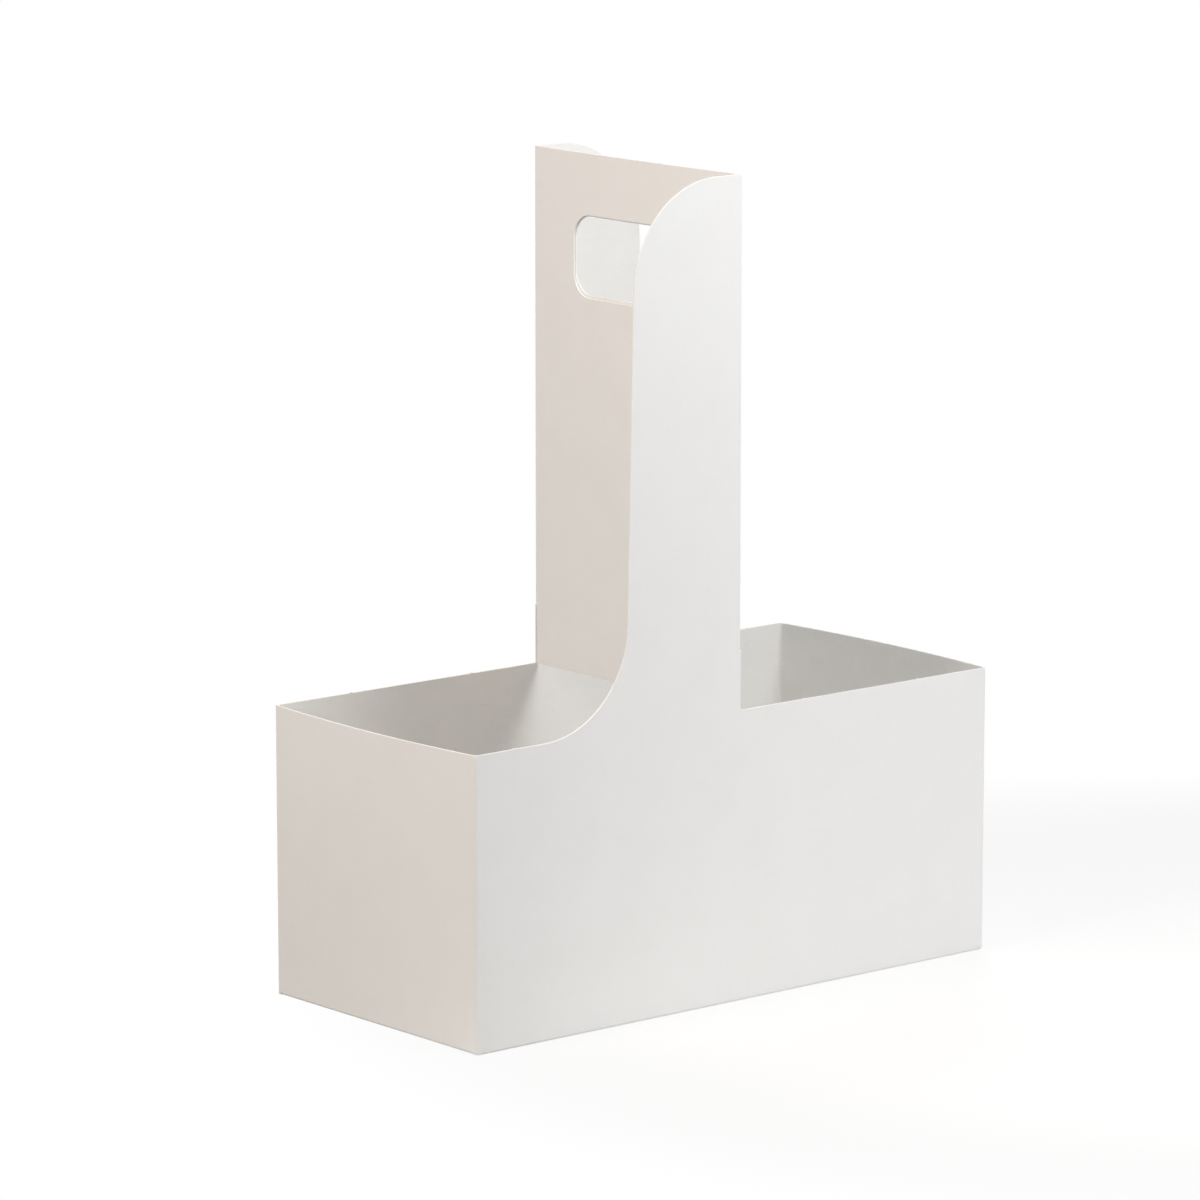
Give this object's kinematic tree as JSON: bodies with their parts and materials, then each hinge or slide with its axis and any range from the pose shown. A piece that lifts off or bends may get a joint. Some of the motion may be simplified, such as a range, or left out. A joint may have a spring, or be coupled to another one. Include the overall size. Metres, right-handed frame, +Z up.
{
  "type": "folded board cup carrier",
  "caption": "Takeaway cup carrier folded from white board: open tray with an upright Z-shaped handle and a rounded hand hole.",
  "frame": {"origin": "middle of the tray's base, on the surface it stands on", "axes": "+Z up through the handle, X along the tray's length, Y across the tray; the front wall, whose strip stands left of its fold, faces -Y"},
  "size_m": [0.1826, 0.084, 0.2198],
  "materials": {
    "board": "smooth white coated board with a faint satin, plain cut edges"
  },
  "bodies": {
    "root": {"carrier": "board"}
  },
  "joints": []
}
